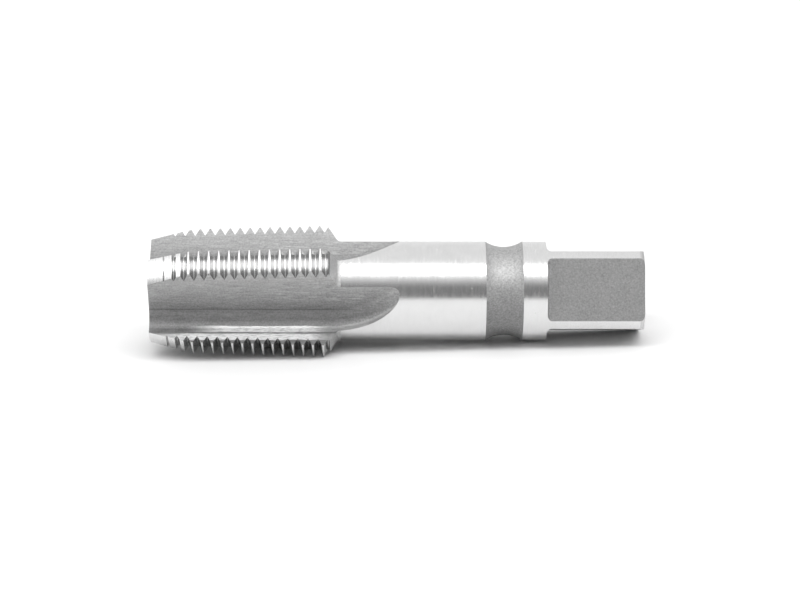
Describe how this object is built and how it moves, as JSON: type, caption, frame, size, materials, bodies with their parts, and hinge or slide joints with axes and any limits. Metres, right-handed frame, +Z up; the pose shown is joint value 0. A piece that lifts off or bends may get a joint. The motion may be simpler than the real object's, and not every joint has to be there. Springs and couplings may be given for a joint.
{
  "type": "taper pipe thread tap",
  "caption": "Hand tap for a right-hand taper pipe thread: straight flutes, tapered threaded lands with a lead chamfer, round shank, neck groove and driving square.",
  "frame": {"origin": "centre of the underside of the bounding box, on the surface that the tap lies on", "axes": "+X along the tap from the cutting end to the driving square, +Z up. The axis of the tap lies in the XZ plane and falls 1.75 degrees towards the square. One flute faces -Y, one +Y, one up and one down."},
  "size_m": [0.0898, 0.0204, 0.0207],
  "materials": {
    "tool_steel": "ground bright on the shank, square corners and threads, matt in the flutes, neck and square flats"
  },
  "bodies": {
    "root": {"tap": "tool_steel"}
  },
  "joints": []
}
